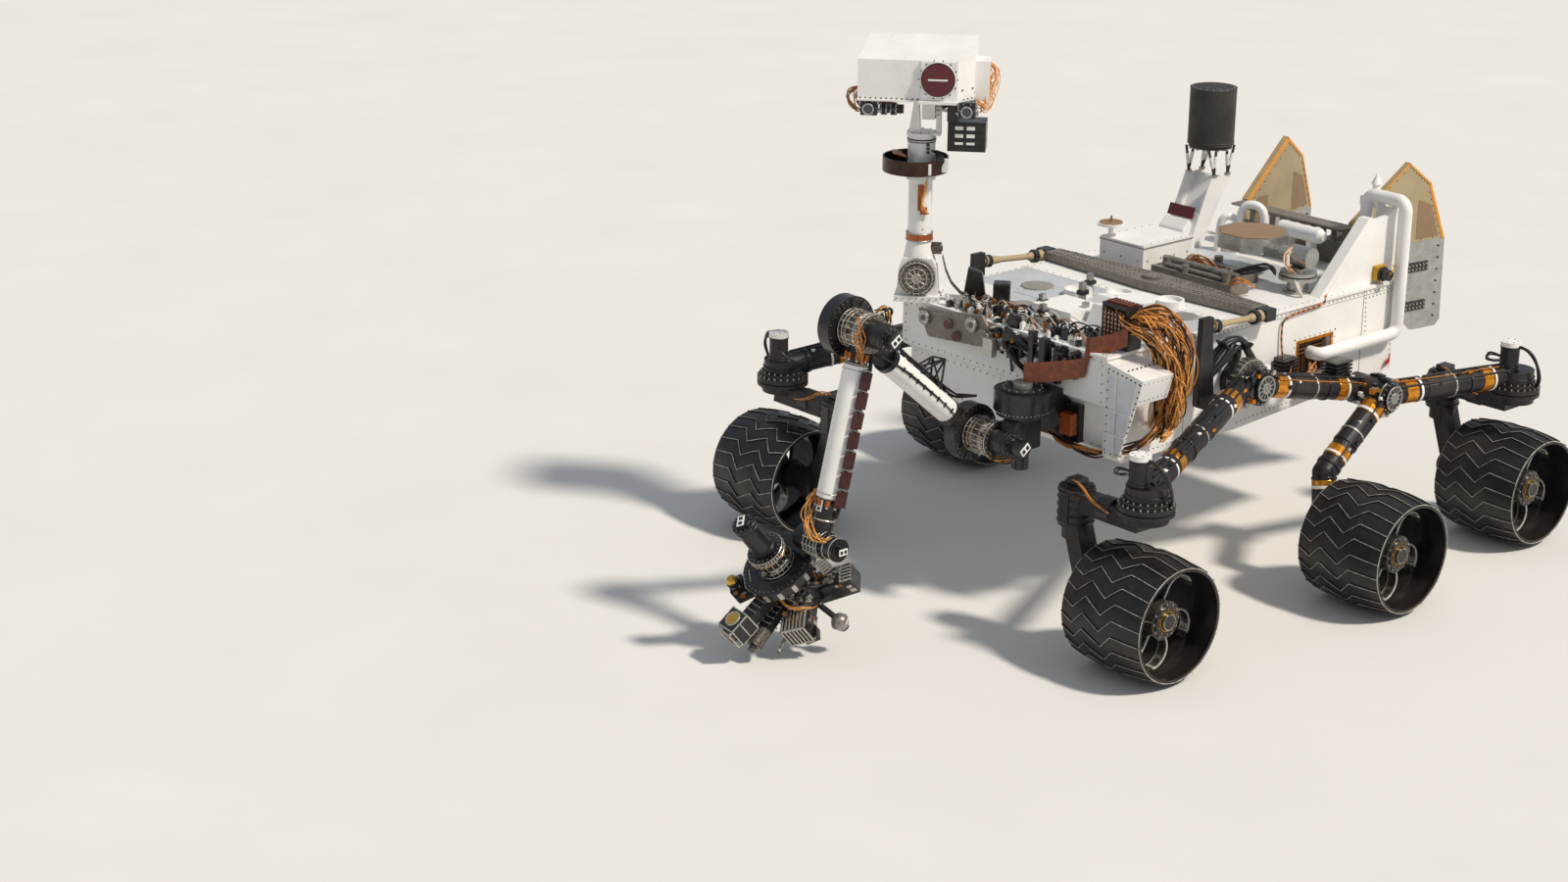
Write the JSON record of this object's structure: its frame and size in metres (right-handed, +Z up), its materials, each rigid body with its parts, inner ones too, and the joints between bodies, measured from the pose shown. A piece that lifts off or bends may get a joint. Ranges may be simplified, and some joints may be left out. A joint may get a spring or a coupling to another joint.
{
  "type": "six-wheeled planetary rover",
  "caption": "Six-wheeled planetary rover with rocker-bogie suspension, a camera mast, a jointed arm with a tool turret, a dish antenna and a finned power source.",
  "frame": {"origin": "on the ground under the centre of the overall box", "axes": "+X forward, +Y to the rover's left, +Z up"},
  "size_m": [3.9594, 2.794, 2.201],
  "materials": {
    "white_paint": "semi-gloss white paint, dusty",
    "wheel_black": "black anodised, worn bright on the edges",
    "leg_black": "dark anodised, satin",
    "spring_metal": "bare machined titanium",
    "motor_black": "satin black paint",
    "beam_grey": "dull dark grey",
    "tan_coat": "tan thermal coat with gold edges",
    "silver_metal": "machined aluminium",
    "gear_metal": "machined gearbox rings",
    "dark_fins": "dark finned casing",
    "antenna_black": "matte black",
    "copper_film": "copper coloured film"
  },
  "bodies": {
    "rover_body": {"antenna_bracket": "white_paint", "arm_mount": "motor_black", "bogie_left": "leg_black", "bogie_right": "leg_black", "chassis_box": "white_paint", "connector_box": "motor_black", "coolant_pipes": "white_paint", "cylinder_antenna": "antenna_black", "deck_box": "white_paint", "deck_inlets": "white_paint", "deck_mechanism": "beam_grey", "differential_beam": "beam_grey", "differential_links": "tan_coat", "dish_base": "silver_metal", "exchanger_panels": "silver_metal", "front_gusset": "white_paint", "hazard_cameras": "beam_grey", "heat_exchangers": "tan_coat", "mast_base": "white_paint", "mast_gear": "gear_metal", "mast_tube": "white_paint", "motor_caps": "white_paint", "power_source": "dark_fins", "rear_webs": "white_paint", "rocker_left": "leg_black", "rocker_right": "leg_black", "top_deck": "white_paint"},
    "mast_neck": {"mast_neck": "white_paint", "mast_ribbon": "copper_film"},
    "mast_head": {"head_box": "white_paint", "head_optics": "motor_black"},
    "dish_yoke": {"dish_yoke": "silver_metal"},
    "dish": {"dish": "silver_metal"},
    "arm_shoulder": {"arm_shoulder": "motor_black", "shoulder_gear": "gear_metal"},
    "upper_arm": {"upper_arm": "white_paint", "upper_arm_brackets": "motor_black"},
    "forearm": {"forearm": "white_paint", "elbow_gear": "gear_metal", "forearm_motors": "motor_black"},
    "wrist": {"wrist": "motor_black"},
    "turret": {"turret": "motor_black", "turret_tools": "gear_metal"},
    "steer_fl": {"steer_fork_fl": "leg_black"},
    "steer_fr": {"steer_fork_fr": "leg_black"},
    "steer_rl": {"steer_fork_rl": "leg_black"},
    "steer_rr": {"steer_fork_rr": "leg_black"},
    "wheel_fl": {"wheel_fl": "wheel_black", "spokes_fl": "spring_metal"},
    "wheel_fr": {"wheel_fr": "wheel_black", "spokes_fr": "spring_metal"},
    "wheel_ml": {"wheel_ml": "wheel_black", "spokes_ml": "spring_metal"},
    "wheel_mr": {"wheel_mr": "wheel_black", "spokes_mr": "spring_metal"},
    "wheel_rl": {"wheel_rl": "wheel_black", "spokes_rl": "spring_metal"},
    "wheel_rr": {"wheel_rr": "wheel_black", "spokes_rr": "spring_metal"}
  },
  "joints": [
    {"name": "steer_fl", "type": "hinge", "parent": "rover_body", "child": "steer_fl", "pos_m": [0.7772, 1.064, 0.675], "axis": [0, 0, 1], "range_deg": [-90, 90]},
    {"name": "roll_fl", "type": "hinge", "parent": "steer_fl", "child": "wheel_fl", "pos_m": [0.7772, 1.064, 0.25], "axis": [0, 1, 0], "continuous": true},
    {"name": "steer_fr", "type": "hinge", "parent": "rover_body", "child": "steer_fr", "pos_m": [0.7772, -1.064, 0.675], "axis": [0, 0, 1], "range_deg": [-90, 90]},
    {"name": "roll_fr", "type": "hinge", "parent": "steer_fr", "child": "wheel_fr", "pos_m": [0.7772, -1.064, 0.25], "axis": [0, 1, 0], "continuous": true},
    {"name": "roll_ml", "type": "hinge", "parent": "rover_body", "child": "wheel_ml", "pos_m": [-0.4878, 1.197, 0.25], "axis": [0, 1, 0], "continuous": true},
    {"name": "roll_mr", "type": "hinge", "parent": "rover_body", "child": "wheel_mr", "pos_m": [-0.4878, -1.197, 0.25], "axis": [0, 1, 0], "continuous": true},
    {"name": "steer_rl", "type": "hinge", "parent": "rover_body", "child": "steer_rl", "pos_m": [-1.5878, 1.064, 0.675], "axis": [0, 0, 1], "range_deg": [-90, 90]},
    {"name": "roll_rl", "type": "hinge", "parent": "steer_rl", "child": "wheel_rl", "pos_m": [-1.5878, 1.064, 0.25], "axis": [0, 1, 0], "continuous": true},
    {"name": "steer_rr", "type": "hinge", "parent": "rover_body", "child": "steer_rr", "pos_m": [-1.5878, -1.064, 0.675], "axis": [0, 0, 1], "range_deg": [-90, 90]},
    {"name": "roll_rr", "type": "hinge", "parent": "steer_rr", "child": "wheel_rr", "pos_m": [-1.5878, -1.064, 0.25], "axis": [0, 1, 0], "continuous": true},
    {"name": "mast_pan", "type": "hinge", "parent": "rover_body", "child": "mast_neck", "pos_m": [0.4922, -0.52, 1.65], "axis": [0, 0, 1], "range_deg": [-180, 180]},
    {"name": "mast_tilt", "type": "hinge", "parent": "mast_neck", "child": "mast_head", "pos_m": [0.4922, -0.52, 1.915], "axis": [0.6639, -0.7478, 0], "range_deg": [-87, 90]},
    {"name": "dish_turn", "type": "hinge", "parent": "rover_body", "child": "dish_yoke", "pos_m": [-0.8398, 0.44, 1.19], "axis": [0, 0, 1], "range_deg": [-15, 150]},
    {"name": "dish_tilt", "type": "hinge", "parent": "dish_yoke", "child": "dish", "pos_m": [-0.8598, 0.38, 1.262], "axis": [0, 1, 0], "range_deg": [-10, 90]},
    {"name": "arm_turn", "type": "hinge", "parent": "rover_body", "child": "arm_shoulder", "pos_m": [0.6622, 0.28, 0.85], "axis": [0, 0, 1], "range_deg": [-30, 45]},
    {"name": "arm_raise", "type": "hinge", "parent": "arm_shoulder", "child": "upper_arm", "pos_m": [0.7742, 0.132, 0.735], "axis": [0, -1, 0], "range_deg": [0, 30]},
    {"name": "arm_bend", "type": "hinge", "parent": "upper_arm", "child": "forearm", "pos_m": [1.4622, 0.132, 1.308], "axis": [0, -1, 0], "range_deg": [-30, 90]},
    {"name": "wrist_bend", "type": "hinge", "parent": "forearm", "child": "wrist", "pos_m": [1.6712, 0.147, 0.495], "axis": [0, 1, 0], "range_deg": [-15, 75]},
    {"name": "turret_turn", "type": "hinge", "parent": "wrist", "child": "turret", "pos_m": [1.7302, 0.03, 0.361], "axis": [0.6428, 0, 0.766], "range_deg": [-60, 60]}
  ]
}
